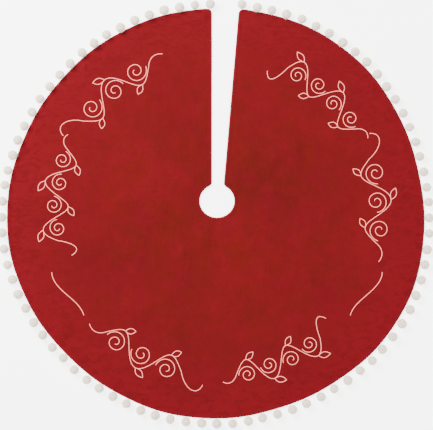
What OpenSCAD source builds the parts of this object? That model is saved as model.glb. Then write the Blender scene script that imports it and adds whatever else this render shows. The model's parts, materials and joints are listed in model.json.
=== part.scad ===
// Round velvet tree skirt with a trunk hole, a slit, vine embroidery, ribbon ties and a pom-pom hem.
// Origin: centre of the trunk hole on the floor. +Y runs along the slit, +X to the right, +Z up.

/* [Skirt] */
// Radius of the cloth, from its centre to the hem
hem_r = 610; // [560:5:700]
// Radius of the trunk hole
neck_r = 50; // [40:1:60]
// How far the cloth's centre lies from the hole's centre, away from the slit
hem_offset = 37; // [20:1:60]

/* [Slit] */
// Distance of the slit's straight left edge from the middle
slit_left = 15; // [14:1:20]
// Distance of the slit's right edge from the middle, at the hole
slit_right_neck = 20; // [18:1:25]
// Distance of the slit's right edge from the middle, at the hem
slit_right_hem = 65; // [50:1:75]

/* [Layers] */
// Height of the rolled seam under the rims, which stands on the floor
rim_h = 1.6; // [1.5:0.1:3]
// Thickness of the lining
lining_t = 0.6; // [0.4:0.1:1]
// Thickness of the interlining's wadding
wadding_t = 3; // [2:0.5:5]
// Thickness of the velvet with its pile
velvet_t = 2; // [1:0.5:3]

/* [Trim] */
// Diameter of a pom-pom
pom_d = 27; // [22:1:28]
// Distance from the hem to the pom-poms' centres
pom_reach = 17; // [16:1:20]
// Number of pom-poms on the right of the fold
poms_right = 41; // [40:1:42]
// Number of pom-poms on the left of the fold
poms_left = 42; // [40:1:43]
// Width of the embroidery cord
cord_w = 3; // [2:0.5:6]
// Height of the embroidery cord above the velvet
cord_h = 1.6; // [1:0.2:3]

/* [Ties] */
// Length of a ribbon tie
tie_len = 260; // [200:10:300]
// Width of the ribbon
ribbon_w = 20; // [15:1:22]
// Thickness of the ribbon
ribbon_t = 0.6; // [0.4:0.1:0.6]

/* [Hidden] */
$fn = 96;
eps = 0.01;
big = 2 * hem_r;
hem_c = [0, -hem_offset];
fold_gap = 0.2;
slit_end_y = hem_r - hem_offset;
slit_slope = (slit_right_hem - slit_right_neck) / (slit_end_y - neck_r);
past_hem = 60;

// heights of the layers, from the floor up
lining_z = rim_h;
wadding_z = lining_z + lining_t;
velvet_z = wadding_z + wadding_t;
top_z = velvet_z + velvet_t;
seam_z = 3.6;

// the rolled edge: the velvet turns down inside it, and the tapes lie behind it
rim_w = 16;
edge_t = 3;
tape_w = 12;
tape_t = 1;
tape_inset = 4;
stay_gap = 6;
wadding_inset = tape_inset + tape_w + 1;

// ties: distances of the left ones from the hole along the slit, and how much further the right ones are
tie_places = [80, 250, 420];
tie_stagger = 30;
tie_z = 0.1;
tab_len = 16;
tab_z = rim_h - ribbon_t;
tie_clear = 0.4;
fold_clear = 0.3;
tab_clear = 1;
tack_w = 2;
tack_t = 0.25;
tack_inset = 3;

// small sewing: the turning gap's hand stitches, and the care label
stitch = [0.8, 5, 0.8];
stitch_count = 12;
stitch_pitch = 9;
stitch_start_y = 380;
label_size = [34, 46, 0.5];
label_y = 328;
label_from_slit = 90;
label_stitch = [1, 42, 0.3];
label_stitch_inset = 2;

// pom-poms, counted from the one on the fold line
pom_strips = 10;
pom_z = pom_d / 2;
thread_d = 1.2;
thread_gap = 0.9;
right_pom_step = (180 - 6.7) / poms_right;
left_pom_step = (180 - 1.9) / poms_left;

// embroidery: the band's middle line, the height of the vine's waves, and its tendrils and leaves
vine_r = 478;
vine_amp = 38;
curl_share = 0.39;
curl_drop = 6;
curl_turn = 620;
curl_shrink = 0.84;
curl_steps = 22;
leaf_len = 34;
leaf_wide = 8.5;
leaf_lean = 30;

// sprigs: [waves, length of a wave], and where each starts, in degrees clockwise from the slit
short_sprig = [3, 84];
long_sprig = [4, 68];
left_starts = [-25, -67];
right_starts = [100.5, 58.5];
front_left_start = -137;
front_right_start = 173;
swash_start = 109.5;

PANELS = ["face_panel_left", "face_panel_right", "interlining_left", "interlining_right",
    "lining_left", "lining_right"];
TAPES = ["pompom_tape_left", "pompom_tape_right", "neck_stay_left", "neck_stay_right",
    "slit_stay_left", "slit_stay_right"];
SPRIGS = ["vine_left", "vine_right", "vine_front_left", "vine_front_right",
    "swash_left", "swash_right"];
TIES = ["tie_left_inner", "tie_left_middle", "tie_left_outer",
    "tie_right_inner", "tie_right_middle", "tie_right_outer"];
SEWING = ["tie_tabs_left", "tie_tabs_right", "tie_tacks_left", "tie_tacks_right",
    "closing_stitches", "care_label", "label_stitches"];
STRIPS = [for (side = ["left", "right"], k = [1:pom_strips]) str("pompoms_", side, "_", k)];

// ---- outline -------------------------------------------------------------------------------

// x of the slit's right edge at the height y
function slit_right(y) = slit_right_neck + slit_slope * (y - neck_r);

// The slit as a prism, wider by inset on both sides
module slit(inset, z, h) {
    translate([0, 0, z]) linear_extrude(h) polygon([
        [-slit_left - inset, 0],
        [slit_right(0) + inset, 0],
        [slit_right(slit_end_y + past_hem) + inset, slit_end_y + past_hem],
        [-slit_left - inset, slit_end_y + past_hem]]);
}

// Everything on one side of the fold and the slit: side is -1 for the left, 1 for the right
module half_space(side, z, h) {
    translate([side > 0 ? fold_gap : -big - fold_gap, -big, z]) cube([big, 2 * big, h]);
}

// One half of the skirt's flat shape, from z up by h, drawn in by inset from every free edge
module half_plate(side, inset, z, h) {
    intersection() {
        difference() {
            translate([hem_c.x, hem_c.y, z]) cylinder(r = hem_r - inset, h = h);
            translate([0, 0, z - 1]) cylinder(r = neck_r + inset, h = h + 2);
            slit(inset, z - 1, h + 2);
        }
        half_space(side, z - 1, h + 2);
    }
}

// A band that follows every free edge, between two insets
module edge_band(side, inset, width, z, h) {
    difference() {
        half_plate(side, inset, z, h);
        half_plate(side, inset + width, z - 1, h + 2);
    }
}

// A ring around the cloth's centre, cut to one half and clear of the slit
module hem_ring(side, inset, width, z, h) {
    intersection() {
        difference() {
            translate([hem_c.x, hem_c.y, z]) cylinder(r = hem_r - inset, h = h);
            translate([hem_c.x, hem_c.y, z - 1]) cylinder(r = hem_r - inset - width, h = h + 2);
            slit(inset, z - 1, h + 2);
        }
        half_space(side, z - 1, h + 2);
    }
}

// A ring around the hole, cut to one half and clear of the slit
module neck_ring(side, inset, width, z, h) {
    intersection() {
        difference() {
            translate([0, 0, z]) cylinder(r = neck_r + inset + width, h = h);
            translate([0, 0, z - 1]) cylinder(r = neck_r + inset, h = h + 2);
            slit(inset, z - 1, h + 2);
        }
        half_space(side, z - 1, h + 2);
    }
}

// ---- cloth layers --------------------------------------------------------------------------

module face_panel(side) {
    color("firebrick") union() {
        half_plate(side, 0, velvet_z, velvet_t);
        edge_band(side, 0, edge_t, wadding_z, wadding_t + eps);
    }
}

module interlining(side) {
    color("whitesmoke") half_plate(side, wadding_inset, wadding_z, wadding_t);
}

module lining(side) {
    color("darkred") union() {
        half_plate(side, 0, lining_z, lining_t);
        hem_ring(side, 0, rim_w, 0, rim_h + eps);
        neck_ring(side, 0, rim_w, 0, rim_h + eps);
    }
}

// ---- tapes inside the rolled edge ----------------------------------------------------------

module pompom_tape(side) {
    color("ivory") hem_ring(side, tape_inset, tape_w, wadding_z, tape_t);
}

module neck_stay(side) {
    color("white") neck_ring(side, tape_inset, tape_w, wadding_z, tape_t);
}

// Straight tape along the slit's edge, between the neck stay and the pom-pom tape
module slit_stay(side) {
    start_y = neck_r + tape_inset + tape_w + stay_gap;
    end_y = slit_end_y - tape_inset - tape_w - stay_gap;
    function edge_x(y) = side < 0 ? -slit_left - tape_inset : slit_right(y) + tape_inset;
    color("white") translate([0, 0, wadding_z]) linear_extrude(tape_t) polygon([
        [edge_x(start_y), start_y],
        [edge_x(start_y) + side * tape_w, start_y],
        [edge_x(end_y) + side * tape_w, end_y],
        [edge_x(end_y), end_y]]);
}

// ---- embroidery ----------------------------------------------------------------------------

// A point of the band: s along its middle line, h towards the hole; dir is -1 to the left
function band_point(p, start, dir) =
    let (a = start + dir * p[0] / vine_r * 180 / PI, r = vine_r - p[1])
    [hem_c.x + r * sin(a), hem_c.y + r * cos(a)];
function spine_h(s, w) = vine_amp * sin(180 * s / w);
function spine(n, w) = [for (i = [0:10 * n]) [i * w / 10, spine_h(i * w / 10, w)]];

// A tendril that leaves the spine at the start of a wave and winds up inside it
function tendril(k, w) =
    let (up = pow(-1, k), r0 = curl_share * w, c = [(k + 0.47) * w, -up * curl_drop])
    [for (i = [0:curl_steps])
        let (t = i / curl_steps, a = up * (180 - curl_turn * t), r = r0 * (1 - curl_shrink * t))
        c + r * [cos(a), sin(a)]];

// A pointed leaf that stands on the outside of a wave
function leaf(k, w) =
    let (up = pow(-1, k), root = [(k + 0.5) * w, up * vine_amp], turn = up * leaf_lean)
    [for (i = [0:12]) let (t = i <= 6 ? i / 6 : 2 - i / 6, side = i <= 6 ? 1 : -1,
        p = [leaf_len * t, side * leaf_wide * sin(180 * t)])
        root + [p[0] * cos(turn) - p[1] * sin(turn), p[0] * sin(turn) + p[1] * cos(turn)]];

function bezier(p0, p1, p2, p3, n) = [for (i = [0:n]) let (t = i / n, u = 1 - t)
    u * u * u * p0 + 3 * u * u * t * p1 + 3 * u * t * t * p2 + t * t * t * p3];

// The open strokes before the first wave and after the last one
function lead(w) = bezier([0, 0], [-0.1 * w, -16], [-0.3 * w, -34], [-0.62 * w, -20], 8);
function tail(n, w) = let (end = [n * w, 0], up = -pow(-1, n - 1))
    bezier(end, end + [0.22 * w, up * 46], end + [0.62 * w, up * 70], end + [0.8 * w, up * 30], 10);

function sprig(size) = let (n = size[0], w = size[1]) concat(
    [spine(n, w), lead(w), tail(n, w)],
    [for (k = [0:n - 1]) tendril(k, w)],
    [for (k = [0:n - 1]) leaf(k, w)]);

// Cord laid along a list of points
module stroke(points) {
    for (i = [1:len(points) - 1]) hull() {
        translate(points[i - 1]) circle(d = cord_w, $fn = 8);
        translate(points[i]) circle(d = cord_w, $fn = 8);
    }
}

module strokes_on_band(strokes, start, dir) {
    for (s = strokes) stroke([for (p = s) band_point(p, start, dir)]);
}

module cord_layer() {
    color("linen") translate([0, 0, top_z]) linear_extrude(cord_h) children();
}

// All the sprigs grow the same way round: against the clock, seen from above.
module sprigs(starts) {
    cord_layer() {
        strokes_on_band(sprig(short_sprig), starts[0], -1);
        strokes_on_band(sprig(long_sprig), starts[1], -1);
    }
}

module front_sprig(size, start) {
    cord_layer() strokes_on_band(sprig(size), start, -1);
}

module swash(dir) {
    degree = vine_r * PI / 180;
    curve = bezier([0, -40], [5 * degree, -58], [12 * degree, 4], [18 * degree, -18], 12);
    cord_layer() strokes_on_band([curve], dir * swash_start, dir);
}

// ---- ties ----------------------------------------------------------------------------------

// Middle of a tie along the slit; the right ties lie a step further out than the left ones
function tie_y(side, k) = tie_places[k] + (side > 0 ? tie_stagger : 0);
function tie_x(side, k) = side < 0 ? -slit_left - tie_clear
    : slit_right(tie_y(side, k) + ribbon_w / 2) + tie_clear;

// A block that starts at the tie's fold line and runs under the skirt
module tie_block(side, k, from, length, width, z, h) {
    x0 = tie_x(side, k) + side * from;
    translate([side < 0 ? x0 - length : x0, tie_y(side, k) - width / 2, z]) cube([length, width, h]);
}

module tie(side, k) {
    color("crimson") tie_block(side, k, fold_clear, tie_len, ribbon_w, tie_z, ribbon_t);
}

// The sewn ends of the ribbons, flat under the lining
module tie_tabs(side) {
    color("crimson") for (k = [0:2])
        tie_block(side, k, tab_clear, tab_len, ribbon_w, tab_z, ribbon_t);
}

// Two bars of stitching across the underside of each sewn end
module tie_tacks(side) {
    color("darkred") for (k = [0:2], at = [tack_inset, tab_len - tack_inset - tack_w])
        tie_block(side, k, tab_clear + at, tack_w, ribbon_w - 2 * tack_inset, tab_z - tack_t, tack_t);
}

// ---- small sewing --------------------------------------------------------------------------

// Hand stitches that close the turning gap, in a row behind the left slit edge
module closing_stitches() {
    color("darkred") for (i = [0:stitch_count - 1])
        translate([-slit_left - edge_t - 0.1 - stitch.x, stitch_start_y + i * stitch_pitch, wadding_z])
            cube(stitch);
}

// Left edge of the care label
function label_x() = -slit_left - label_from_slit;

// Blank care label under the left flap
module care_label() {
    color("white") translate([label_x(), label_y, rim_h - label_size.z]) cube(label_size);
}

// A row of stitching down each side of the label, on its face
module label_stitches() {
    z = rim_h - label_size.z - label_stitch.z;
    color("ivory") for (dx = [label_stitch_inset, label_size.x - label_stitch_inset - label_stitch.x])
        translate([label_x() + dx, label_y + label_stitch_inset, z]) cube(label_stitch);
}

// ---- pom-poms ------------------------------------------------------------------------------

// A pom-pom and its tying thread, at an angle from the slit, clockwise
module pompom(angle) {
    reach = pom_reach - thread_gap;
    rise = pom_z - seam_z;
    translate([hem_c.x, hem_c.y, 0]) rotate([0, 0, -angle]) {
        translate([0, hem_r + pom_reach, pom_z]) sphere(d = pom_d, $fn = 32);
        translate([0, hem_r + thread_gap, seam_z]) rotate([-atan2(reach, rise), 0, 0])
            cylinder(d = thread_d, h = norm([reach, rise]), $fn = 16);
    }
}

function pom_angle(side, i) = side * (180 - i * (side > 0 ? right_pom_step : left_pom_step));
function strip_end(k, side) = round((side > 0 ? poms_right : poms_left) * k / pom_strips);

module pompoms(side, k) {
    color("ivory") for (i = [strip_end(k - 1, side) + 1:strip_end(k, side)])
        pompom(pom_angle(side, i));
}

module pompom_front() {
    color("ivory") pompom(180);
}

// ---- all nodes -----------------------------------------------------------------------------

face_panel(-1);  // face_panel_left
face_panel(1);  // face_panel_right
interlining(-1);  // interlining_left
interlining(1);  // interlining_right
lining(-1);  // lining_left
lining(1);  // lining_right
pompom_tape(-1);  // pompom_tape_left
pompom_tape(1);  // pompom_tape_right
neck_stay(-1);  // neck_stay_left
neck_stay(1);  // neck_stay_right
slit_stay(-1);  // slit_stay_left
slit_stay(1);  // slit_stay_right
sprigs(left_starts);  // vine_left
sprigs(right_starts);  // vine_right
front_sprig(short_sprig, front_left_start);  // vine_front_left
front_sprig(long_sprig, front_right_start);  // vine_front_right
swash(-1);  // swash_left
swash(1);  // swash_right
for (k = [0:2]) {
    tie(-1, k);
    tie(1, k);
}
tie_tabs(-1);  // tie_tabs_left
tie_tabs(1);  // tie_tabs_right
tie_tacks(-1);  // tie_tacks_left
tie_tacks(1);  // tie_tacks_right
closing_stitches();
care_label();
label_stitches();
pompom_front();
for (k = [1:pom_strips]) {
    pompoms(-1, k);
    pompoms(1, k);
}
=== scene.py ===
"""Looks for the velvet tree skirt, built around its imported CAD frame. Lengths are in metres."""
import json
import math

import bmesh
import bpy
import numpy as np
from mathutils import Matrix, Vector


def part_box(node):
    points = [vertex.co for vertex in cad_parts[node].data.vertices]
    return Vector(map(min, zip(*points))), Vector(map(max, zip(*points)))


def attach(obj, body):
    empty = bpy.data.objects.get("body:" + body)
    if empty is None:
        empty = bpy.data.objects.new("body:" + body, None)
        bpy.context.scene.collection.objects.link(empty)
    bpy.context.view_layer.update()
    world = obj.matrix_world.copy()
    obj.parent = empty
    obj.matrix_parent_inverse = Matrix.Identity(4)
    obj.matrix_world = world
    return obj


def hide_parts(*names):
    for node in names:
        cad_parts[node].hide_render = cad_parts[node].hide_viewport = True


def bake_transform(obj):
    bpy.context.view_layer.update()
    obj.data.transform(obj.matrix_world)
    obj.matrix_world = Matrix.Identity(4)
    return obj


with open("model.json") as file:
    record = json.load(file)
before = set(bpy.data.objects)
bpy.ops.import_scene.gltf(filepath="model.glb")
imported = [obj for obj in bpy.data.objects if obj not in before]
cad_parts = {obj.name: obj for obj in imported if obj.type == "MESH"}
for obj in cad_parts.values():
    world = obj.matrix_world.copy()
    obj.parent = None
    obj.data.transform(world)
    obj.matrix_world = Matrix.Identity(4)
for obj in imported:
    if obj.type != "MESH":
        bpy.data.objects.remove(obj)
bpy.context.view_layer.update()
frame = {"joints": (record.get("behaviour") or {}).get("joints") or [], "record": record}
MM = 0.001
TURN = 2 * math.pi

# ---- sizes, from the frame ------------------------------------------------------------------
MOUNTS = {m["name"]: m for m in frame["record"]["mounts"]}
JOINTS = {j["name"]: j for j in frame["joints"]}
NECK_R = MOUNTS["trunk_hole"]["dims"]["r_mm"] * MM
LINING_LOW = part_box("lining_left")[0]
HEM_R = -LINING_LOW.x
HEM_Y = LINING_LOW.y + HEM_R
TOP_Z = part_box("face_panel_left")[1].z
LINING_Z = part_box("closing_stitches")[0].z - 0.6 * MM
SLIT_LEFT = -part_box("tie_left_inner")[1].x - 0.7 * MM
SLIT_RIGHT_NECK = 20 * MM
SLIT_RIGHT_HEM = 65 * MM
POM_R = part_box("pompom_front")[1].z / 2
POM_REACH = -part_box("pompom_front")[0].y - POM_R + HEM_Y - HEM_R

# ---- heights of what lies inside and underneath, with the cloth flat on the floor ------------
SEAM_Z = 3.6 * MM
WADDING_Z = 3.7 * MM
TAPE_Z = 2.9 * MM
GAP_STITCH_Z = 2.6 * MM
RIBBON_TOP_Z = 1.3 * MM
RIBBON_LOW_Z = 0.4 * MM
TACK_Z = 1.15 * MM
LABEL_Z = 1.25 * MM
LABEL_STITCH_Z = 0.95 * MM

# ---- the cloth's own shape ------------------------------------------------------------------
EDGE_STEPS = np.array([0, 0.25, 0.7, 1.4, 2.4, 3.6, 5, 7, 10, 14, 19]) * MM
EDGE_ROUND = 4.2 * MM
# beside each edge of the velvet, a swell over the rolled seam and then a dip: height and place
EDGE_SWELL, EDGE_SWELL_AT = 0.5 * MM, 5 * MM
EDGE_DIP, EDGE_DIP_AT = 0.7 * MM, 13 * MM
EDGE_HUMP_WIDTH = 3 * MM
# the lining curves down from each edge to its lowest, and rises a little further in
LINING_ROUND = 2.5 * MM
LINING_LOWEST = 0.1 * MM
LINING_RISE_AT = 13 * MM
LINING_RISE_WIDTH = 6 * MM
CORNER_R = 15 * MM
INNER_CORNER_R = 8 * MM
HOLE_WIDER = 1.2 * MM
ROWS_BETWEEN = 96
COLUMNS_BETWEEN = 620
RIPPLE_TOP = 6 * MM
FLAT_MARGIN = 60 * MM
EDGE_RIPPLE = 0.2
RIPPLE_PERCENTILES = (2, 99)
# waves of the hem's radius: how many round the hem, height, and the angle of a crest
HEM_WAVES = [(0, 2.4 * MM, 0), (2, 5.2 * MM, 87), (3, 3.6 * MM, 14), (4, 1.8 * MM, 22),
             (5, 3.0 * MM, -28), (17, 0.6 * MM, 5)]


def hem_wave(angle):
    """How far the hem lies outside its circle, at an angle in degrees clockwise from the slit."""
    return sum(h * np.cos(np.radians(n * (angle - crest))) for n, h, crest in HEM_WAVES)


def neck_wave(angle):
    """How far the trunk hole's edge lies outside its circle: it is a little wider than long."""
    return -HOLE_WIDER * np.cos(np.radians(2 * angle))


def slit_right(y):
    """How far right of the hole's centre the slit's right edge is."""
    slope = (SLIT_RIGHT_HEM - SLIT_RIGHT_NECK) / (HEM_R + HEM_Y - NECK_R)
    return SLIT_RIGHT_NECK + slope * (y - NECK_R)


def on_circle(x_of_y, radius, centre_y):
    """The upper point where a near-vertical line, x as a function of y, meets a circle."""
    y = centre_y + radius
    for _ in range(30):
        y = centre_y + math.sqrt(radius**2 - x_of_y(y) ** 2)
    return np.array([x_of_y(y), y])


def angle_of(p, centre_y):
    return math.degrees(math.atan2(p[0], p[1] - centre_y))


def on_waved_circle(x_of_y, radius, wave, centre_y):
    """The same on a circle whose radius varies: the plain circle gives the angle."""
    p = on_circle(x_of_y, radius, centre_y)
    return on_circle(x_of_y, radius + wave(angle_of(p, centre_y)), centre_y)


def edge_line(side, inset):
    """The line that runs beside one slit edge, from the trunk hole to the hem."""
    x_of_y = (lambda y: -SLIT_LEFT - inset) if side < 0 else (lambda y: slit_right(y) + inset)
    return (on_waved_circle(x_of_y, NECK_R, neck_wave, 0),
            on_waved_circle(x_of_y, HEM_R, hem_wave, HEM_Y))


def unit_step(start, end):
    return (end - start) / np.linalg.norm(end - start)


def ease(share):
    """Zero to one with level ends."""
    return share * share * (3 - 2 * share)


def hump(place, centre, width):
    """A smooth bump of height 1."""
    return np.exp(-((place - centre) / width) ** 2)


def lines_around():
    """The columns of the cloth's grid: (start at the hole, end at the hem, side, inset)."""
    last = EDGE_STEPS[-1]
    left = [(*edge_line(-1, e), -1, e) for e in EDGE_STEPS]
    right = [(*edge_line(1, e), 1, e) for e in EDGE_STEPS[::-1]]
    neck_a, hem_a = angle_of(left[-1][0], 0), angle_of(left[-1][1], HEM_Y)
    neck_b, hem_b = angle_of(right[0][0], 0) - 360, angle_of(right[0][1], HEM_Y) - 360
    between = []
    for t in np.linspace(0, 1, COLUMNS_BETWEEN + 2)[1:-1]:
        neck, hem = neck_a + t * (neck_b - neck_a), hem_a + t * (hem_b - hem_a)
        r = HEM_R + hem_wave(hem)
        n, h = math.radians(neck), math.radians(hem)
        neck_r = NECK_R + neck_wave(neck)
        start = np.array([neck_r * math.sin(n), neck_r * math.cos(n)])
        end = np.array([r * math.sin(h), HEM_Y + r * math.cos(h)])
        between.append((start, end, 0, last))
    return left + between + right


def rounded(du, dv, radius):
    """Insets from two edges that meet, drawn in so that the corner between them is round."""
    a, b = radius - du, radius - dv
    if a <= 0 or b <= 0:
        return du, dv
    share = max(a, b) / math.hypot(a, b)
    return radius - a * share, radius - b * share


def cloth_plan():
    """Plan position and distance from the nearest edge of each point of the cloth's grid."""
    lines = lines_around()
    last = EDGE_STEPS[-1]
    between = np.linspace(0, 1, ROWS_BETWEEN + 2)[1:-1]
    rows = len(EDGE_STEPS) * 2 + ROWS_BETWEEN
    plan = np.zeros((len(lines), rows, 2))
    inset = np.full((len(lines), rows), last)
    for i, (start, end, side, du) in enumerate(lines):
        length = np.linalg.norm(end - start)
        along = np.concatenate([EDGE_STEPS, last + between * (length - 2 * last),
                                length - EDGE_STEPS[::-1]])
        plan[i] = start + np.outer(along / length, end - start)
        near = np.minimum(along, length - along)
        inset[i] = np.minimum(near, du if side else last)
        if side:
            for j, dv in enumerate(near):
                radius = INNER_CORNER_R if j < rows / 2 else CORNER_R
                if du < radius and dv < radius:
                    plan[i, j] = corner_point(side, du, dv, radius, j < rows / 2)
    return plan, inset


def corner_point(side, du, dv, radius, at_neck):
    """A grid point near a corner, moved so that the corner comes out round."""
    du, dv = rounded(du, dv, radius)
    start, end = edge_line(side, du)
    step = unit_step(start, end)
    return start + step * dv if at_neck else end - step * dv


# ---- how the cloth lies: ripples from a cloth simulation ------------------------------------
CELL = 14 * MM
FIELD_LOW = np.array([-0.66, -0.70])
FIELD_CELLS = 96
SIM_FRAMES = 36
SIM_START = 6 * MM
SIM_CRUMPLE = 3 * MM
SIM_GAP = 1.5 * MM
SIM_FRICTION = 12
SIM_CLOTH = {"quality": 6, "mass": 0.35, "tension_stiffness": 12, "compression_stiffness": 12,
             "shear_stiffness": 5, "bending_stiffness": 0.6, "shrink_min": -0.008,
             "air_damping": 2}


def inside_cloth(x, y):
    in_hole = np.hypot(x, y) < NECK_R
    out_of_hem = np.hypot(x, y - HEM_Y) > HEM_R
    in_slit = (y > 0) & (x > -SLIT_LEFT) & (x < slit_right(y))
    return ~(in_hole | out_of_hem | in_slit)


def waves(x, y, count, shortest, longest, seed):
    """A smooth, repeatable field of crossing waves, about -1 to 1."""
    rng = np.random.default_rng(seed)
    total = np.zeros_like(x)
    for _ in range(count):
        length = rng.uniform(shortest, longest)
        turn, phase = rng.uniform(0, TURN, 2)
        total += np.sin(TURN * (x * math.cos(turn) + y * math.sin(turn)) / length + phase)
    return total / math.sqrt(count * 2)


def field_axes():
    """Plan positions of the points of a square field over the whole skirt."""
    side = FIELD_LOW[:, None] + np.arange(FIELD_CELLS)[None, :] * CELL
    return np.meshgrid(side[0], side[1], indexing="ij")


def smoothed(field, passes):
    for _ in range(passes):
        padded = np.pad(field, 1, mode="edge")
        field = (padded[1:-1, 1:-1] * 4 + padded[:-2, 1:-1] + padded[2:, 1:-1]
                 + padded[1:-1, :-2] + padded[1:-1, 2:]) / 8
    return field


def bare_object(name, points, faces):
    mesh = bpy.data.meshes.new(name)
    mesh.from_pydata(np.asarray(points).tolist(), [], [[int(v) for v in face] for face in faces])
    obj = bpy.data.objects.new(name, mesh)
    bpy.context.scene.collection.objects.link(obj)
    return obj


def simulated_heights(x, y):
    """Lets a slightly oversize sheet settle on a floor, and returns its height on the field."""
    keep = inside_cloth(x, y)
    index = np.full(x.shape, -1)
    index[keep] = np.arange(keep.sum())
    start_z = SIM_START + SIM_CRUMPLE * waves(x, y, count=14, shortest=0.10, longest=0.34, seed=5)
    points = np.stack([x[keep], y[keep], start_z[keep]], 1)
    corners = np.stack([index[:-1, :-1], index[1:, :-1], index[1:, 1:], index[:-1, 1:]], -1).reshape(-1, 4)
    sheet = bare_object("settling", points, corners[(corners >= 0).all(1)])
    cloth = sheet.modifiers.new("Cloth", "CLOTH")
    for setting, value in SIM_CLOTH.items():
        setattr(cloth.settings, setting, value)
    cloth.collision_settings.distance_min = SIM_GAP
    cloth.collision_settings.friction = SIM_FRICTION
    cloth.point_cache.frame_start = 1
    cloth.point_cache.frame_end = SIM_FRAMES
    ground = bare_object("ground", [(-1, -1, 0), (1, -1, 0), (1, 1, 0), (-1, 1, 0)], [(0, 1, 2, 3)])
    ground.modifiers.new("Collision", "COLLISION")
    ground.collision.cloth_friction = SIM_FRICTION
    for step in range(1, SIM_FRAMES + 1):
        bpy.context.scene.frame_set(step)
    settled = sheet.evaluated_get(bpy.context.evaluated_depsgraph_get()).to_mesh()
    z = np.zeros(len(settled.vertices) * 3)
    settled.vertices.foreach_get("co", z)
    height = np.zeros(x.shape)
    height[keep] = z.reshape(-1, 3)[:, 2]
    height[~keep] = np.median(height[keep])
    bpy.data.objects.remove(sheet)
    bpy.data.objects.remove(ground)
    bpy.context.scene.frame_set(1)
    return height


def ripple_field():
    """Heights over the whole field, brought to the range from 0 to RIPPLE_TOP.
    """
    x, y = field_axes()
    height = smoothed(simulated_heights(x, y), passes=3)
    low, high = np.percentile(height, RIPPLE_PERCENTILES)
    return np.clip((height - low) / (high - low), 0, 1) * RIPPLE_TOP


RIPPLES = ripple_field()
# further than any edge is
FAR = 1.0


def edge_distance(x, y):
    """Distance to the nearest free edge, near enough away from the corners."""
    hem = HEM_R - np.hypot(x, y - HEM_Y)
    neck = np.hypot(x, y) - NECK_R
    left = np.where((y > 0) & (x <= 0), -SLIT_LEFT - x, FAR)
    right = np.where((y > 0) & (x > 0), x - slit_right(y), FAR)
    return np.minimum(np.minimum(hem, neck), np.minimum(left, right))


def ripple(x, y):
    """Height that the cloth stands off the floor: next to nothing where the seams hold it flat."""
    share = np.clip(edge_distance(x, y) / FLAT_MARGIN, 0, 1)
    return field_height(x, y) * (EDGE_RIPPLE + (1 - EDGE_RIPPLE) * ease(share))


def ripple_at(x, y):
    return float(ripple(np.array([x]), np.array([y]))[0])


def field_height(x, y):
    """The settled sheet's height, in between the field's points."""
    fx = np.clip((x - FIELD_LOW[0]) / CELL, 0, FIELD_CELLS - 1.001)
    fy = np.clip((y - FIELD_LOW[1]) / CELL, 0, FIELD_CELLS - 1.001)
    i, j = fx.astype(int), fy.astype(int)
    u, v = ease(fx - i), ease(fy - j)
    low = RIPPLES[i, j] * (1 - u) + RIPPLES[i + 1, j] * u
    high = RIPPLES[i, j + 1] * (1 - u) + RIPPLES[i + 1, j + 1] * u
    return low * (1 - v) + high * v


def velvet_z(x, y, inset):
    """Height of the velvet: round at the edge, with a slight dip beside the rolled seam."""
    share = np.clip(inset / EDGE_ROUND, 0, 1)
    bulge = np.sqrt(1 - (1 - share) ** 2)
    top = TOP_Z + EDGE_SWELL * hump(inset, EDGE_SWELL_AT, EDGE_HUMP_WIDTH)
    top = top - EDGE_DIP * hump(inset, EDGE_DIP_AT, EDGE_HUMP_WIDTH)
    return SEAM_Z + (top - SEAM_Z) * bulge + ripple(x, y)


def lining_z(x, y, inset):
    """Height of the lining: down to the floor under the rolled seam, a little higher inside it."""
    share = np.clip(inset / LINING_ROUND, 0, 1)
    bulge = np.sqrt(1 - (1 - share) ** 2)
    inner = ease(np.clip((inset - LINING_RISE_AT) / LINING_RISE_WIDTH, 0, 1))
    under = LINING_LOWEST + (LINING_Z - LINING_LOWEST) * inner
    return SEAM_Z + (under - SEAM_Z) * bulge + ripple(x, y)


# ---- mesh helpers ---------------------------------------------------------------------------
def piece(name, points, faces, material):
    obj = bare_object(name, points, faces)
    mesh = obj.data
    mesh.polygons.foreach_set("use_smooth", [True] * len(mesh.polygons))
    mesh.materials.append(material)
    mesh.update()
    return obj


def grid_faces(columns, rows, flip=False):
    a = np.arange(columns * rows).reshape(columns, rows)
    quads = np.stack([a[:-1, :-1], a[1:, :-1], a[1:, 1:], a[:-1, 1:]], -1).reshape(-1, 4)
    return quads[:, ::-1] if flip else quads


def surface(name, x, y, z, material, flip=False):
    """A piece from a grid of points."""
    points = np.dstack([x, y, z]).reshape(-1, 3)
    return piece(name, points, grid_faces(*x.shape, flip=flip), material)


def tube_faces(rings, around):
    """Side faces of a tube from rings of points."""
    ring = np.arange(rings * around).reshape(rings, around)
    nxt = np.roll(ring, -1, axis=1)
    return np.stack([ring[:-1], nxt[:-1], nxt[1:], ring[1:]], -1).reshape(-1, 4)


def closed_tube_faces(rings, around):
    """The same with a face over each end."""
    first, last = list(range(around)), (rings - 1) * around
    return tube_faces(rings, around).tolist() + [first[::-1], [last + k for k in first]]


class Parts:
    """Several meshes gathered into one, with one value for each point."""

    def __init__(self):
        self.points, self.faces, self.values = [], [], []
        self.count = 0

    def add(self, points, faces, values):
        self.points.append(points)
        self.faces += [[v + self.count for v in face] for face in faces]
        self.values.append(values)
        self.count += len(points)

    def piece(self, name, material):
        obj = piece(name, np.concatenate(self.points), self.faces, material)
        # the proud values set the fibre material's painted shade in hollows and painted light on crests
        point_attribute(obj, "proud", np.concatenate(self.values))
        return obj


def point_attribute(obj, name, values):
    attribute = obj.data.attributes.new(name, "FLOAT", "POINT")
    attribute.data.foreach_set("value", np.asarray(values, np.float32).ravel())


def fold(obj):
    """Bakes the piece's placement into its mesh."""
    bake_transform(obj)


# ---- materials ------------------------------------------------------------------------------
BLACK = (0, 0, 0)
WHITE = (1, 1, 1)


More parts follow.
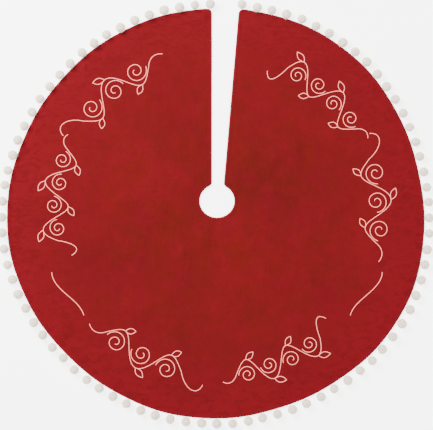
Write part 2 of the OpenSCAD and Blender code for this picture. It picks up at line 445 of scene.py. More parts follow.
class Nodes:
    """Short calls for building one material's nodes."""

    def __init__(self, name):
        self.material = bpy.data.materials.new(name)
        self.material.use_nodes = True
        self.tree = self.material.node_tree
        self.shader = self.tree.nodes["Principled BSDF"]
        self.coords = self.add("ShaderNodeTexCoord").outputs["Object"]

    def add(self, kind, **values):
        node = self.tree.nodes.new(kind)
        for key, value in values.items():
            setattr(node, key, value)
        return node

    def link(self, source, target):
        self.tree.links.new(source, target)

    def noise(self, scale, detail, roughness, stretch=(1, 1, 1), warp=0.0):
        mapping = self.add("ShaderNodeMapping")
        mapping.inputs["Scale"].default_value = stretch
        self.link(self.coords, mapping.inputs["Vector"])
        node = self.add("ShaderNodeTexNoise")
        node.inputs["Scale"].default_value = scale
        node.inputs["Detail"].default_value = detail
        node.inputs["Roughness"].default_value = roughness
        node.inputs["Distortion"].default_value = warp
        self.link(mapping.outputs[0], node.inputs["Vector"])
        return node.outputs["Fac"]

    def ribs(self, pitch, direction):
        """Bands at a pitch in metres; the texture makes one band in pi / 10 of its length."""
        node = self.add("ShaderNodeTexWave", wave_type="BANDS", bands_direction=direction)
        node.inputs["Scale"].default_value = math.pi / 10 / pitch
        self.link(self.coords, node.inputs["Vector"])
        return node.outputs["Fac"]

    def attribute(self, name):
        return self.add("ShaderNodeAttribute", attribute_name=name).outputs["Fac"]

    def math(self, kind, a, b):
        node = self.add("ShaderNodeMath", operation=kind)
        for socket, value in zip(node.inputs, (a, b)):
            if isinstance(value, (int, float)):
                socket.default_value = value
            else:
                self.link(value, socket)
        return node.outputs[0]

    def ramp(self, fac, stops):
        node = self.add("ShaderNodeValToRGB")
        elements = node.color_ramp.elements
        while len(elements) < len(stops):
            elements.new(0.5)
        for element, (place, colour) in zip(elements, stops):
            element.position = place
            element.color = (*colour, 1)
        self.link(fac, node.inputs[0])
        return node.outputs[0]

    def mix(self, fac, a, b):
        node = self.add("ShaderNodeMix", data_type="RGBA", blend_type="MIX")
        for socket, value in ((node.inputs[0], fac), (node.inputs[6], a), (node.inputs[7], b)):
            if isinstance(value, (int, float)):
                socket.default_value = value
            elif isinstance(value, tuple):
                socket.default_value = (*value, 1)
            else:
                self.link(value, socket)
        return node.outputs[2]

    def bump(self, height, distance, strength, after=None):
        node = self.add("ShaderNodeBump")
        node.inputs["Distance"].default_value = distance
        node.inputs["Strength"].default_value = strength
        self.link(height, node.inputs["Height"])
        if after is not None:
            self.link(after, node.inputs["Normal"])
        return node.outputs[0]

    def finish(self, colour, roughness, normal=None, sheen=0.0, sheen_rough=0.5, tint=(1, 1, 1),
               specular=0.25):
        self.link(colour, self.shader.inputs["Base Color"])
        self.shader.inputs["Roughness"].default_value = roughness
        if normal is not None:
            self.link(normal, self.shader.inputs["Normal"])
        self.shader.inputs["Sheen Weight"].default_value = sheen
        self.shader.inputs["Sheen Roughness"].default_value = sheen_rough
        self.shader.inputs["Sheen Tint"].default_value = (*tint, 1)
        self.shader.inputs["Specular IOR Level"].default_value = specular
        return self.material


def velvet_material():
    """Short pile: broad and fine shading, more crimson to the hem with painted crease shade there, and a
    painted highlight along the edges.
    """
    n = Nodes("velvet")
    broad = n.noise(3.2, 3, 0.5, warp=0.4)
    blotch = n.noise(22, 5, 0.62, warp=0.3)
    crushed = n.noise(75, 6, 0.7, stretch=(1, 0.6, 1), warp=0.8)
    nap = n.noise(900, 2, 0.7)
    shade = n.math("ADD", n.math("MULTIPLY", broad, 0.42), n.math("MULTIPLY", blotch, 0.26))
    shade = n.math("ADD", shade, n.math("MULTIPLY", crushed, 0.32))
    deep = n.ramp(shade, [(0.36, (0.050, 0.0034, 0.0036)), (0.5, (0.082, 0.0036, 0.0041)),
                          (0.64, (0.116, 0.0038, 0.0048))])
    hue = n.ramp(n.noise(11, 5, 0.65, warp=0.5), [(0.35, BLACK), (0.65, WHITE)])
    brown = n.mix(0.45, deep, (0.071, 0.0059, 0.0026))
    crimson = n.mix(0.40, deep, (0.100, 0.0024, 0.0065))
    cloth = n.mix(hue, brown, crimson)
    rim = n.mix(n.attribute("rim"), cloth, (0.110, 0.0029, 0.0061))
    # painted shade: dark crease lines toward the hem, where shade would fall in creases that the mesh does
    # not have
    crease_pattern = n.noise(42, 5, 0.68, stretch=(0.55, 1, 1), warp=1.4)
    painted_crease_shade = n.ramp(crease_pattern, [(0.46, BLACK), (0.62, WHITE)])
    painted_crease_shade = n.math("MULTIPLY", painted_crease_shade, n.math("MULTIPLY", n.attribute("rim"), 0.75))
    rim = n.mix(painted_crease_shade, rim, (0.066, 0.0026, 0.0040))
    # painted highlight: a paler pink band on the rolled edges, where the pile catches the light
    painted_edge_highlight = n.mix(n.attribute("edge"), rim, (0.16, 0.011, 0.020))
    colour = n.mix(n.math("MULTIPLY", nap, 0.25), painted_edge_highlight, (0.038, 0.0015, 0.0017))
    normal = n.bump(nap, 0.5 * MM, 0.55)
    normal = n.bump(crushed, 1.2 * MM, 0.5, normal)
    return n.finish(colour, 0.88, normal, sheen=0.10, sheen_rough=0.4, tint=(1.0, 0.07, 0.09),
                    specular=0.04)


def woven_material(name, dark, light, pitch, roughness=0.9):
    """A plain weave: two sets of fine ribs that cross."""
    n = Nodes(name)
    weave = n.math("MAXIMUM", n.ribs(pitch, "X"), n.ribs(pitch, "Y"))
    slub = n.noise(120, 3, 0.6, stretch=(1, 4, 1))
    tone = n.math("ADD", n.math("MULTIPLY", weave, 0.45), n.math("MULTIPLY", slub, 0.55))
    colour = n.ramp(tone, [(0.25, dark), (0.8, light)])
    normal = n.bump(weave, 0.25 * MM, 0.6)
    return n.finish(colour, roughness, normal, specular=0.04)


def ribbed_material(name, dark, light, pitch, direction):
    """Ribbon with fine ribs across it and a soft satin face."""
    n = Nodes(name)
    ribs = n.ribs(pitch, direction)
    slub = n.noise(90, 2, 0.5)
    tone = n.math("ADD", n.math("MULTIPLY", ribs, 0.6), n.math("MULTIPLY", slub, 0.4))
    colour = n.ramp(tone, [(0.2, dark), (0.85, light)])
    normal = n.bump(ribs, 0.2 * MM, 0.7)
    return n.finish(colour, 0.6, normal, sheen=0.06, specular=0.10)


def fibre_material(name, deep, mid, light, scale, bump, sheen=0.35):
    """Loose fibres: painted light where they stand proud, which an attribute says, and painted shade
    between.
    """
    n = Nodes(name)
    fluff = n.noise(scale, 4, 0.65)
    wisps = n.noise(scale * 2.6, 3, 0.7, stretch=(1, 1, 2.5))
    # partly random fluff, partly painted shade in the hollows and painted light on the proud fibres
    tone = n.math("ADD", n.math("MULTIPLY", n.attribute("proud"), 0.55), n.math("MULTIPLY", fluff, 0.45))
    colour = n.ramp(tone, [(0.12, deep), (0.42, mid), (0.85, light)])
    normal = n.bump(wisps, bump, 0.7)
    return n.finish(colour, 0.95, normal, sheen=sheen, sheen_rough=0.6)


VELVET = velvet_material()
LINING = woven_material("lining", (0.085, 0.005, 0.0065), (0.135, 0.008, 0.010), 0.9 * MM)
# deep colour: painted shade in the wadding's dips; light colour: painted light on its loft
WADDING = fibre_material("wadding", (0.55, 0.54, 0.51), (0.72, 0.71, 0.68), (0.85, 0.84, 0.81),
                         160, 0.8 * MM)
TAPE = woven_material("tape", (0.62, 0.59, 0.52), (0.80, 0.77, 0.70), 0.8 * MM)
# deep colour: painted shade between the cord's plies; light colour: painted light on their crests
CORD = fibre_material("embroidery", (0.42, 0.06, 0.04), (0.95, 0.18, 0.145), (1.0, 0.31, 0.26),
                      900, 0.3 * MM, sheen=0.08)
RIBBON = ribbed_material("ribbon", (0.11, 0.006, 0.008), (0.20, 0.012, 0.014), 1.1 * MM, "X")
THREAD = ribbed_material("thread", (0.14, 0.009, 0.009), (0.24, 0.019, 0.017), 0.5 * MM, "DIAGONAL")
LABEL_THREAD = ribbed_material("label_thread", (0.22, 0.02, 0.02), (0.38, 0.05, 0.05), 0.5 * MM,
                               "DIAGONAL")
LABEL = woven_material("label", (0.74, 0.74, 0.72), (0.88, 0.88, 0.86), 0.6 * MM, roughness=0.55)
# deep colour: painted shade in the hollows between the pom-poms' tufts; light colour: painted light on the
# tufts
YARN = fibre_material("yarn", (0.24, 0.17, 0.11), (0.70, 0.58, 0.45), (0.95, 0.87, 0.76),
                      420, 0.8 * MM)

# ---- cloth pieces ---------------------------------------------------------------------------
PLAN, INSET = cloth_plan()
PLAN_X, PLAN_Y = PLAN[..., 0], PLAN[..., 1]


def velvet_face():
    obj = surface("velvet_face", PLAN_X, PLAN_Y, velvet_z(PLAN_X, PLAN_Y, INSET), VELVET)
    to_hem = np.clip((np.hypot(PLAN_X, PLAN_Y - HEM_Y) / HEM_R - 0.25) / 0.75, 0, 1)
    # rim: more crimson toward the hem, and how strong the painted crease shade is
    point_attribute(obj, "rim", 0.85 * to_hem**2)
    # edge: where the painted highlight lies along the rolled edges
    point_attribute(obj, "edge", 0.8 * hump(INSET, 1.2 * MM, 2.2 * MM))
    fold(obj)
    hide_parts("face_panel_left", "face_panel_right")


def lining_sheet():
    height = lining_z(PLAN_X, PLAN_Y, INSET)
    obj = surface("lining_sheet", PLAN_X, PLAN_Y, height, LINING, flip=True)
    fold(obj)
    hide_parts("lining_left", "lining_right")


TAPE_NEAR = 4 * MM
TAPE_FAR = 16 * MM
TAPE_ARCH = 0.15 * MM
# how far from the slit the curved tapes end
TAPE_COLUMN = EDGE_STEPS[6]
# the tapes' lengths when flat, and the shares of the slit where its stays start and end
HEADING_LENGTH = TURN * HEM_R * 0.98
NECK_STAY_LENGTH = TURN * NECK_R * 1.12
SLIT_STAY_LENGTH = 0.48
SLIT_STAY_ENDS = (0.045, 0.955)
WADDING_GAP = 1 * MM
WADDING_LOFT = 0.15 * MM


def wadding_sheet():
    """The interlining, a lofty sheet cut back from every edge."""
    trim = TAPE_FAR + WADDING_GAP
    share = np.linspace(0, 1, 60)
    lines = [(s, e) for s, e, side, inset in lines_around() if not side or inset == EDGE_STEPS[-1]]
    plan = np.zeros((len(lines), len(share), 2))
    for i, (start, end) in enumerate(lines):
        step = unit_step(start, end)
        a, b = start + step * trim, end - step * trim
        plan[i] = a + np.outer(share, b - a)
    x, y = plan[..., 0], plan[..., 1]
    loft = WADDING_LOFT * waves(x, y, count=20, shortest=0.02, longest=0.05, seed=8)
    z = WADDING_Z + loft + ripple(x, y)
    obj = surface("wadding_sheet", x, y, z, WADDING)
    # paler on the loft's crests and darker in its dips: painted light and shade
    point_attribute(obj, "proud", 0.5 + loft / (4 * WADDING_LOFT))
    fold(obj)
    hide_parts("interlining_left", "interlining_right")


def tape(name, inner, outer, flat, nodes):
    """A flat tape between two lines of plan points, sewn down inside the rolled edge."""
    share = np.linspace(0, 1, 5)[None, :, None]
    plan = np.array(inner)[:, None, :] * (1 - share) + np.array(outer)[:, None, :] * share
    x, y = plan[..., 0], plan[..., 1]
    z = TAPE_Z + TAPE_ARCH * np.sin(math.pi * share[..., 0]) + ripple(x, y)
    obj = surface(name, x, y, z, TAPE)
    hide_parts(*nodes)
    return obj


def tapes():
    """The pom-poms' heading round the hem, and the stays round the hole and along the slit."""
    width = TAPE_FAR - TAPE_NEAR
    hem, neck = [], []
    for start, end, side, inset in lines_around():
        if not side or inset == TAPE_COLUMN:
            step = unit_step(start, end)
            hem.append((end - step * TAPE_FAR, end - step * TAPE_NEAR))
            neck.append((start + step * TAPE_NEAR, start + step * TAPE_FAR))
    fold(tape("pompom_heading_tape", *zip(*hem), (width, HEADING_LENGTH),
              ("pompom_tape_left", "pompom_tape_right")))
    fold(tape("neck_stay_tape", *zip(*neck), (width, NECK_STAY_LENGTH),
              ("neck_stay_left", "neck_stay_right")))
    shares = np.linspace(*SLIT_STAY_ENDS, 90)
    for side, name in ((-1, "left"), (1, "right")):
        edges = [edge_line(side, inset) for inset in (TAPE_NEAR, TAPE_FAR)]
        inner, outer = [[a + (b - a) * s for s in shares] for a, b in edges[::side]]
        stay = tape("slit_stay_tape_" + name, inner, outer, (width, SLIT_STAY_LENGTH),
                    ("slit_stay_" + name,))
        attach(stay, name + "_half")


# ---- embroidery -----------------------------------------------------------------------------
VINE_R = 478 * MM
CORD_SIDES = 12
# the strokes are drawn in millimetres along and across the band
VINE_AMP = 38
LEAF_LENGTH = 34
LEAF_HALF_WIDTH = 8.5
LEAF_STEPS = 10
# the lean and the turn are in degrees, and the radius and its loss are shares of what they act on
LEAF_LEAN = 30
TENDRIL_TURN = 620
TENDRIL_R = 0.39
TENDRIL_SHRINK = 0.84
# how many half waves, and the length of each
SHORT_SPRIG = (3, 84)
LONG_SPRIG = (4, 68)
# where the sprigs and the short strokes start, in degrees clockwise from the slit
LEFT_STARTS = (-25, -67)
RIGHT_STARTS = (100.5, 58.5)
FRONT_LEFT_START = -137
FRONT_RIGHT_START = 173
SWASH_START = 109.5
CORD_W = 2.3 * MM
CORD_H = 2.1 * MM
CORD_PITCH = 8 * MM
CORD_STEP = 1.8 * MM
# shares of the cord's size: its core, what a ply adds, and how high above the velvet its middle is
CORD_CORE = 0.80
CORD_PLY = 0.22
CORD_REST = 0.22
# strokes lie at slightly different heights, so that they can cross
CORD_LIFT = 0.12 * MM
CORD_LIFTS = 4
# a degree round the band, in the strokes' millimetres
DEGREE = VINE_R / MM * math.pi / 180


def bezier(p0, p1, p2, p3, steps):
    t = np.linspace(0, 1, steps + 1)[:, None]
    u = 1 - t
    p0, p1, p2, p3 = (np.array(p, float) for p in (p0, p1, p2, p3))
    return u**3 * p0 + 3 * u * u * t * p1 + 3 * u * t * t * p2 + t**3 * p3


def spine(n, w):
    """The stem's middle: n half waves, each w long."""
    s = np.linspace(0, n * w, 24 * n + 1)
    return np.stack([s, VINE_AMP * np.sin(math.pi * s / w)], 1)


def lead(w):
    """The stem's curl before the first wave."""
    return bezier((0, 0), (-0.1 * w, -16), (-0.3 * w, -34), (-0.62 * w, -20), 16)


def tail(n, w):
    """The stem's sweep after the last wave."""
    up = -((-1) ** (n - 1))
    end = n * w
    return bezier((end, 0), (end + 0.22 * w, up * 46), (end + 0.62 * w, up * 70),
                  (end + 0.8 * w, up * 30), 20)


def tendril(k, w):
    """A spiral in the hollow of wave k."""
    up = (-1) ** k
    t = np.linspace(0, 1, 61)
    a = np.radians(up * (180 - TENDRIL_TURN * t))
    r = TENDRIL_R * w * (1 - TENDRIL_SHRINK * t)
    return np.stack([(k + 0.47) * w + r * np.cos(a), -up * 6 + r * np.sin(a)], 1)


def leaf(k, w):
    """A pointed leaf on the crest of wave k."""
    up = (-1) ** k
    t = np.concatenate([np.linspace(0, 1, LEAF_STEPS + 1), np.linspace(1, 0, LEAF_STEPS + 1)[1:]])
    side = np.where(np.arange(len(t)) <= LEAF_STEPS, 1, -1)
    x, y = LEAF_LENGTH * t, side * LEAF_HALF_WIDTH * np.sin(math.pi * t)
    turn = math.radians(up * LEAF_LEAN)
    return np.stack([(k + 0.5) * w + x * math.cos(turn) - y * math.sin(turn),
                     up * VINE_AMP + x * math.sin(turn) + y * math.cos(turn)], 1)


def sprig(size):
    n, w = size
    stem = np.concatenate([lead(w)[::-1], spine(n, w)[1:], tail(n, w)[1:]])
    return [stem] + [tendril(k, w) for k in range(n)] + [leaf(k, w) for k in range(n)]


def on_band(stroke, start, direction):
    """Takes a stroke in millimetres along and across the band to plan positions."""
    angle = math.radians(start) + direction * stroke[:, 0] * MM / VINE_R
    r = VINE_R - stroke[:, 1] * MM
    return np.stack([r * np.sin(angle), HEM_Y + r * np.cos(angle)], 1)


def resampled(line, step):
    lengths = np.concatenate([[0], np.cumsum(np.linalg.norm(np.diff(line, axis=0), axis=1))])
    at = np.linspace(0, lengths[-1], max(4, int(lengths[-1] / step)))
    return np.stack([np.interp(at, lengths, line[:, i]) for i in range(line.shape[1])], 1), at


def cord_along(line, lift):
    """A flat two-ply cord on the velvet along a plan line: points, faces and how proud each is, which sets
    painted shade between the plies.
    """
    centre, at = resampled(line, CORD_STEP)
    tangent = np.gradient(centre, axis=0)
    tangent /= np.linalg.norm(tangent, axis=1)[:, None]
    across = np.stack([-tangent[:, 1], tangent[:, 0]], 1)
    base = ripple(centre[:, 0], centre[:, 1]) + TOP_Z
    around = np.linspace(0, TURN, CORD_SIDES, endpoint=False)
    twist = at[:, None] / CORD_PITCH * TURN
    lobes = np.abs(np.sin(around[None, :] - twist))
    end = np.clip(np.minimum(at, at[-1] - at) / (CORD_W / 2), 0, 1)[:, None]
    size = (CORD_CORE + CORD_PLY * lobes) * np.sqrt(1 - (1 - end) ** 2 + 1e-4)
    side = np.cos(around)[None, :] * size * CORD_W / 2
    up = np.sin(around)[None, :] * size * CORD_H / 2 + CORD_H * CORD_REST + lift
    x = centre[:, 0, None] + across[:, 0, None] * side
    y = centre[:, 1, None] + across[:, 1, None] * side
    points = np.dstack([x, y, base[:, None] + up]).reshape(-1, 3)
    return points, closed_tube_faces(len(at), CORD_SIDES), lobes.ravel()


def cord_piece(name, node, strokes, body=None):
    """Strokes of cord in one piece, put on a body if one is given, else baked where it lies."""
    parts = Parts()
    for i, line in enumerate(strokes):
        parts.add(*cord_along(line, CORD_LIFT * (i % CORD_LIFTS)))
    obj = parts.piece(name, CORD)
    if body:
        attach(obj, body)
    else:
        fold(obj)
    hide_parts(node)


def embroidery():
    def short(start):
        return [on_band(stroke, start, -1) for stroke in sprig(SHORT_SPRIG)]

    def long(start):
        return [on_band(stroke, start, -1) for stroke in sprig(LONG_SPRIG)]

    for name, starts in (("left", LEFT_STARTS), ("right", RIGHT_STARTS)):
        cord_piece("vine_cord_" + name, "vine_" + name, short(starts[0]) + long(starts[1]),
                   name + "_half")
    cord_piece("vine_cord_front_left", "vine_front_left", short(FRONT_LEFT_START), "left_half")
    cord_piece("vine_cord_front_right", "vine_front_right", long(FRONT_RIGHT_START))
    swash = bezier((0, -40), (5 * DEGREE, -58), (12 * DEGREE, 4), (18 * DEGREE, -18), steps=24)
    for way, name in ((-1, "left"), (1, "right")):
        cord_piece("swash_cord_" + name, "swash_" + name,
                   [on_band(swash, way * SWASH_START, way)], name + "_half")


# ---- ribbon ties and small sewing -----------------------------------------------------------
RIBBON_TAB = 17 * MM
# a ribbon's bend to the side: how far it goes, and how much of a wave it is, in radians
RIBBON_SWAY = 5 * MM
RIBBON_BEND = 2.6
RIBBON_NOTCH = 9 * MM
RIBBON_CUP = 0.04 * MM


def tie(name, side):
    """A ribbon: sewn under the lining, folded at the slit edge and tucked back under the skirt."""
    low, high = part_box(name)
    hinge = Vector(JOINTS[name + "_swing"]["pos_m"])
    width, length = high.y - low.y, high.x - low.x
    radius, middle = (RIBBON_TOP_Z - RIBBON_LOW_Z) / 2, (RIBBON_TOP_Z + RIBBON_LOW_Z) / 2
    turn = np.linspace(math.pi / 2, -math.pi / 2, 9)
    path = [(-RIBBON_TAB * (1 - t), RIBBON_TOP_Z) for t in np.linspace(0, 1, 6)[:-1]]
    path += [(radius * math.cos(a), middle + radius * math.sin(a)) for a in turn]
    path += [(-length * t, RIBBON_LOW_Z) for t in np.linspace(0, 1, 90)[1:]]
    path = np.array(path)
    across = np.linspace(-0.5, 0.5, 7)[None, :]
    away = np.clip(-path[:, 0] / length, 0, 1) * (path[:, 1] < middle)
    bend = RIBBON_SWAY * np.sin(away * RIBBON_BEND) * away
    near_end = np.clip((-path[:, 0, None] - length) / (3 * RIBBON_NOTCH) + 1, 0, 1)
    notch = RIBBON_NOTCH * near_end * (1 - np.abs(across) * 2)
    x = hinge.x - side * (path[:, 0, None] + notch)
    y = hinge.y + across * width + bend[:, None]
    z = path[:, 1, None] + RIBBON_CUP * np.cos(across * TURN)
    obj = surface(name + "_ribbon", x, y, z, RIBBON, flip=side > 0)
    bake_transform(obj)
    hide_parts(name)


STITCH_SIDES = 6
# where in its own space a stitch starts and ends, and its rings: (place, share of thickness)
STITCH_SPAN = (0.12, 0.88)
STITCH_RINGS = ((0, 0.25), (0.15, 0.8), (0.5, 1), (0.85, 0.8), (1, 0.25))
# the box sewn through a ribbon's end: its near and far side from the hinge, and half its width
SEWN_NEAR = 3 * MM
SEWN_FAR = 15 * MM
SEWN_HALF = 7.5 * MM


def stitch(a, b, thickness):
    """The points of one stitch, a small rounded bar from a to b."""
    up = Vector((0, 0, 1))
    side = (b - a).normalized().cross(up).normalized()
    points = []
    for share, fat in STITCH_RINGS:
        for k in range(STITCH_SIDES):
            angle = k * math.pi / 3
            offset = side * math.cos(angle) + up * math.sin(angle)
            points.append(a.lerp(b, share) + offset * thickness / 2 * fat)
    return points


def stitches(name, runs, pitch, material, thickness):
    """Rows of separate stitches along runs from start to end."""
    bar = closed_tube_faces(len(STITCH_RINGS), STITCH_SIDES)
    points, faces = [], []
    for start, end in runs:
        start, end = Vector(start), Vector(end)
        count = max(1, round((end - start).length / pitch))
        for i in range(count):
            a, b = [start.lerp(end, (i + share) / count) for share in STITCH_SPAN]
            faces += [[v + len(points) for v in face] for face in bar]
            points += stitch(a, b, thickness)
    return piece(name, [tuple(p) for p in points], faces, material)


def tie_sewing(side, name):
    """A box of stitches with a cross in it through each sewn ribbon end, seen from below."""
    runs = []
    near, far = side * SEWN_NEAR, side * SEWN_FAR
    box = [(near, -SEWN_HALF), (near, SEWN_HALF), (far, SEWN_HALF), (far, -SEWN_HALF)]
    seams = list(zip(box, box[1:] + box[:1])) + [(box[0], box[2]), (box[1], box[3])]
    for k in ("inner", "middle", "outer"):
        hinge = Vector(JOINTS[f"tie_{name}_{k}_swing"]["pos_m"])
        for a, b in seams:
            runs.append([(hinge.x + p[0], hinge.y + p[1], TACK_Z) for p in (a, b)])
    obj = stitches("tie_sewing_" + name, runs, 2.4 * MM, THREAD, 0.4 * MM)
    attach(obj, name + "_half")
    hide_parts("tie_tacks_" + name, "tie_tabs_" + name)


GAP_STITCH_PROUD = 0.1 * MM
LABEL_CURL = 0.35 * MM
LABEL_CURL_WIDTH = 4 * MM
LABEL_SEAM = 2.2 * MM


def gap_sewing():
    """Hand stitches on the slit's left edge, where the skirt was turned right side out."""
    low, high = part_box("closing_stitches")
    x = -SLIT_LEFT + GAP_STITCH_PROUD
    run = [(x, y, GAP_STITCH_Z + ripple_at(x, y)) for y in (low.y, high.y)]
    obj = stitches("turning_gap_stitches", [run], 9 * MM, THREAD, 0.7 * MM)
    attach(obj, "left_half")
    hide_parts("closing_stitches")


def care_label():
    """A blank label with turned ends, sewn flat under the left flap."""
    low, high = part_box("care_label")
    x = np.linspace(low.x, high.x, 18)
    y = np.linspace(low.y, high.y, 24)
    gx, gy = np.meshgrid(x, y, indexing="ij")
    near = np.minimum(gy - low.y, high.y - gy)
    curl = LABEL_CURL * np.exp(-(near / LABEL_CURL_WIDTH) ** 4)
    gz = LABEL_Z - curl + 0.05 * MM * np.sin(gx / (5 * MM))
    obj = surface("care_label_blank", gx, gy, gz, LABEL, flip=True)
    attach(obj, "left_half")
    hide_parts("care_label")
    runs = [[(sx, sy, LABEL_STITCH_Z) for sy in (low.y + LABEL_SEAM, high.y - LABEL_SEAM)]
            for sx in (low.x + LABEL_SEAM, high.x - LABEL_SEAM)]
    sewn = stitches("care_label_stitches", runs, 3.2 * MM, LABEL_THREAD, 0.6 * MM)
    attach(sewn, "left_half")
    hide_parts("label_stitches")


# ---- pom-poms -------------------------------------------------------------------------------
# on each side of the fold: how many, and how far the last one is from the slit, in degrees
POMS = {"left": (42, 1.9), "right": (41, 6.7)}
POM_STRIPS = 10
POM_SIZE = (0.99, 1.08)
POM_TUCK = 3.6 * MM
POM_FRONT_OUT = 1.6 * MM
# how unevenly they are sewn on: in millimetres in or out, and in degrees along the hem
POM_SLACK = 1.2
POM_ASIDE = 0.14
POM_VARIANTS = 5
THREAD_R = 0.6 * MM
THREAD_SAG = 0.8 * MM
THREAD_INSIDE = 1 * MM
# for a ball of radius 1
TUFTS = 230
TUFT_REACH = (0.94, 1.03)
TUFT_WIDTH = 0.10
TUFT_RISE = 0.08
WISPS = 260
WISP_ROOT = 0.93
WISP_LENGTH = (0.05, 0.12)
WISP_LEAN = 0.9
WISP_HALF_WIDTH = 0.014
WISP_HALF_WAIST = 0.011


def sphere_points(count, rng):
    """Points spread evenly over a unit sphere, each moved a little."""
    i = np.arange(count) + 0.5
    z = 1 - 2 * i / count
    a = math.pi * (1 + math.sqrt(5)) * i
    p = np.stack([np.sqrt(1 - z * z) * np.cos(a), np.sqrt(1 - z * z) * np.sin(a), z], 1)
    p += rng.normal(0, 0.05, p.shape)
    return p / np.linalg.norm(p, axis=1)[:, None]


def unit_ball():
    """Points and faces of an even sphere of radius 1."""
    bm = bmesh.new()
    bmesh.ops.create_icosphere(bm, subdivisions=5, radius=1)
    points = np.array([v.co for v in bm.verts])
    faces = np.array([[v.index for v in f.verts] for f in bm.faces])
    bm.free()
    return points, faces


BALL, BALL_FACES = unit_ball()


def pom_model(seed):
    """A cut-yarn ball of unit radius: tufts with hollows between them, and stray wisps."""
    rng = np.random.default_rng(seed)
    tufts = sphere_points(TUFTS, rng)
    reach = rng.uniform(*TUFT_REACH, TUFTS)
    cosine = BALL @ tufts.T
    nearest = cosine.argmax(1)
    gap = np.arccos(np.clip(cosine.max(1), -1, 1))
    swell = np.exp(-((gap / TUFT_WIDTH) ** 2))
    radius = reach[nearest] * (1 - TUFT_RISE + TUFT_RISE * swell)
    radius *= 1 + 0.02 * np.sin(BALL @ rng.normal(0, 3, 3) + 1)
    points = BALL * radius[:, None]
    roots = sphere_points(WISPS, rng)
    lean = rng.normal(0, WISP_LEAN, roots.shape)
    tip_way = roots + lean - (lean * roots).sum(1)[:, None] * roots
    side = np.cross(roots, rng.normal(0, 1, roots.shape))
    side /= np.linalg.norm(side, axis=1)[:, None]
    length = rng.uniform(*WISP_LENGTH, WISPS)[:, None]
    base_a = roots * WISP_ROOT + side * WISP_HALF_WIDTH
    base_b = roots * WISP_ROOT - side * WISP_HALF_WIDTH
    middle_a = roots * (1 + length * 0.8) + side * WISP_HALF_WAIST
    middle_b = roots * (1 + length * 0.8) - side * WISP_HALF_WAIST
    tips = roots + tip_way * length
    wisps = np.stack([base_a, base_b, middle_b, middle_a, tips], 1).reshape(-1, 3)
    first = len(points) + np.arange(WISPS) * 5
    faces = [list(f) for f in BALL_FACES]
    faces += [[b, b + 1, b + 2, b + 3] for b in first] + [[b + 3, b + 2, b + 4] for b in first]
    # how proud each point is, which paints shade in the hollows between tufts and light on the tufts
    proud = np.concatenate([swell, np.full(len(wisps), 0.9)])
    return np.concatenate([points, wisps]), faces, proud


POM_MODELS = [pom_model(seed) for seed in range(POM_VARIANTS)]


def spin(rng):
    """A random rotation."""
    q = rng.normal(0, 1, 4)
    w, x, y, z = q / np.linalg.norm(q)
    return np.array([[1 - 2 * (y * y + z * z), 2 * (x * y - z * w), 2 * (x * z + y * w)],
                     [2 * (x * y + z * w), 1 - 2 * (x * x + z * z), 2 * (y * z - x * w)],
                     [2 * (x * z - y * w), 2 * (y * z + x * w), 1 - 2 * (x * x + y * y)]])


def pom_place(angle, rng):
    """Centre and radius of one pom-pom, with the small unevenness of a sewn-on trim."""
    radius = POM_R * rng.uniform(*POM_SIZE)
    slack = rng.uniform(-POM_SLACK, POM_SLACK) * MM - POM_TUCK
    slack -= POM_FRONT_OUT * math.cos(math.radians(angle))
    reach = HEM_R + POM_REACH + hem_wave(angle) + slack
    a = math.radians(angle + rng.uniform(-POM_ASIDE, POM_ASIDE))
    return np.array([reach * math.sin(a), HEM_Y + reach * math.cos(a), radius]), radius


def hem_root(angle):
    """Where a pom-pom's thread comes out of the hem."""
    a = math.radians(angle)
    r = HEM_R + hem_wave(angle) - THREAD_INSIDE
    x, y = r * math.sin(a), HEM_Y + r * math.cos(a)
    return np.array([x, y, SEAM_Z + ripple_at(x, y)])


def thread_tube(a, b):
    """A short slack thread from a to b."""
    steps = np.linspace(0, 1, 9)
    centre = a + np.outer(steps, b - a)
    centre[:, 2] -= np.sin(math.pi * steps) * THREAD_SAG
    way = unit_step(a, b)
    side = np.cross(way, [0, 0, 1.0])
    side /= np.linalg.norm(side)
    up = np.cross(side, way)
    around = np.linspace(0, TURN, 8, endpoint=False)
    offsets = np.outer(np.cos(around), side) + np.outer(np.sin(around), up)
    points = (centre[:, None, :] + offsets[None] * THREAD_R).reshape(-1, 3)
    return points, tube_faces(len(steps), len(around)).tolist(), np.full(len(points), 0.7)


def pom_piece(name, angles, rng):
    """One mesh of several pom-poms, and one of their threads."""
    balls, threads = Parts(), Parts()
    for angle in angles:
        centre, radius = pom_place(angle, rng)
        points, faces, proud = POM_MODELS[rng.integers(len(POM_MODELS))]
        squash = [rng.uniform(0.97, 1.02), rng.uniform(0.97, 1.02), rng.uniform(0.94, 0.99)]
        placed = (points @ spin(rng).T) * np.array(squash) * radius + centre
        placed[:, 2] -= placed[:, 2].min() - 0.05 * MM
        balls.add(placed, faces, proud)
        threads.add(*thread_tube(hem_root(angle), centre))
    pieces = balls.piece(name + "_yarn", YARN), threads.piece(name + "_threads", YARN)
    return pieces


def pompoms():
    """The strips on each side, and the one pom-pom on the fold."""
    rng = np.random.default_rng(2024)
    for side, way in (("left", -1), ("right", 1)):
        count, last = POMS[side]
        step = (180 - last) / count
        ends = [math.floor(count * k / POM_STRIPS + 0.5) for k in range(POM_STRIPS + 1)]
        for k in range(1, POM_STRIPS + 1):
            angles = [way * (180 - i * step) for i in range(ends[k - 1] + 1, ends[k] + 1)]
            body = f"pompoms_{side}_{k}"
            ball, thread = pom_piece(body, angles, rng)
            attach(ball, body)
            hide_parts(body)
            hinge = np.array(JOINTS[body + "_sway"]["pos_m"])
            outward = hinge - np.array([0, HEM_Y, hinge[2]])
            outward /= np.linalg.norm(outward)
            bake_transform(thread)
    ball, thread = pom_piece("pompom_front", [180], rng)
    fold(ball)
    fold(thread)
    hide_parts("pompom_front")


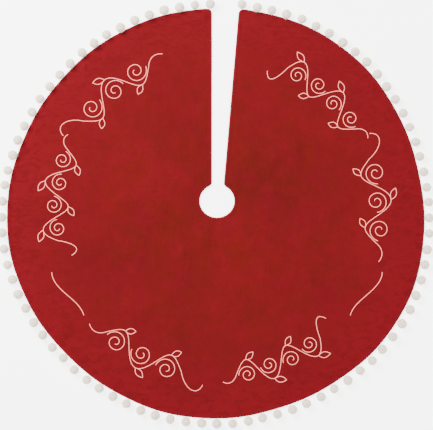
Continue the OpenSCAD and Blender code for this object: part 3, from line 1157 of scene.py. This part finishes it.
# ---- camera, floor and light ----------------------------------------------------------------
CAMERA_X = -1.5 * MM
CAMERA_Y = HEM_Y - 4.4 * MM
CAMERA_HEIGHT = 6.0
PICTURE_WIDTH = 1.2816
FLOOR_HALF = 30
FLOOR_GLOW = 3.2
WORLD_STRENGTH = 1.9
# each lamp's place, size in metres and power in watts
LAMPS = {"key": ((-1.9, 1.8, 2.7), 2.4, 390), "fill": ((1.8, -1.2, 2.4), 2.6, 54)}


def camera():
    """Straight above the skirt, far off with a long lens, and just wide enough for the trim."""
    data = bpy.data.cameras.new("camera")
    data.lens = data.sensor_width * CAMERA_HEIGHT / PICTURE_WIDTH
    data.clip_end = 100
    obj = bpy.data.objects.new("camera", data)
    obj.location = (CAMERA_X, CAMERA_Y, CAMERA_HEIGHT)
    bpy.context.scene.collection.objects.link(obj)
    bpy.context.scene.camera = obj


def floor():
    """A plain pale floor with some glow, so that it reads nearly white."""
    n = Nodes("floor")
    speck = n.noise(6, 3, 0.5)
    colour = n.ramp(speck, [(0.3, (0.90, 0.90, 0.90)), (0.7, (0.93, 0.93, 0.93))])
    n.shader.inputs["Emission Color"].default_value = (1, 1, 1, 1)
    n.shader.inputs["Emission Strength"].default_value = FLOOR_GLOW
    material = n.finish(colour, 0.9)
    corners = [(x * FLOOR_HALF, y * FLOOR_HALF, 0) for x, y in ((-1, -1), (1, -1), (1, 1), (-1, 1))]
    obj = piece("floor", corners, [(0, 1, 2, 3)], material)


def area_light(name, place, size, power):
    """A round lamp that points at the trunk hole."""
    data = bpy.data.lights.new(name, "AREA")
    data.shape = "DISK"
    data.size = size
    data.energy = power
    obj = bpy.data.objects.new(name, data)
    obj.location = place
    obj.rotation_euler = (-Vector(place)).to_track_quat("-Z", "Y").to_euler()
    bpy.context.scene.collection.objects.link(obj)


def lights():
    world = bpy.data.worlds.new("studio")
    world.use_nodes = True
    world.node_tree.nodes["Background"].inputs["Color"].default_value = (1, 1, 1, 1)
    world.node_tree.nodes["Background"].inputs["Strength"].default_value = WORLD_STRENGTH
    bpy.context.scene.world = world
    for name, (place, size, power) in LAMPS.items():
        area_light(name, place, size, power)


camera()
velvet_face()
lining_sheet()
wadding_sheet()
tapes()
embroidery()
for side_name, side_way in (("left", -1), ("right", 1)):
    for place_name in ("inner", "middle", "outer"):
        tie(f"tie_{side_name}_{place_name}", side_way)
    tie_sewing(side_way, side_name)
gap_sewing()
care_label()
pompoms()
floor()
lights()
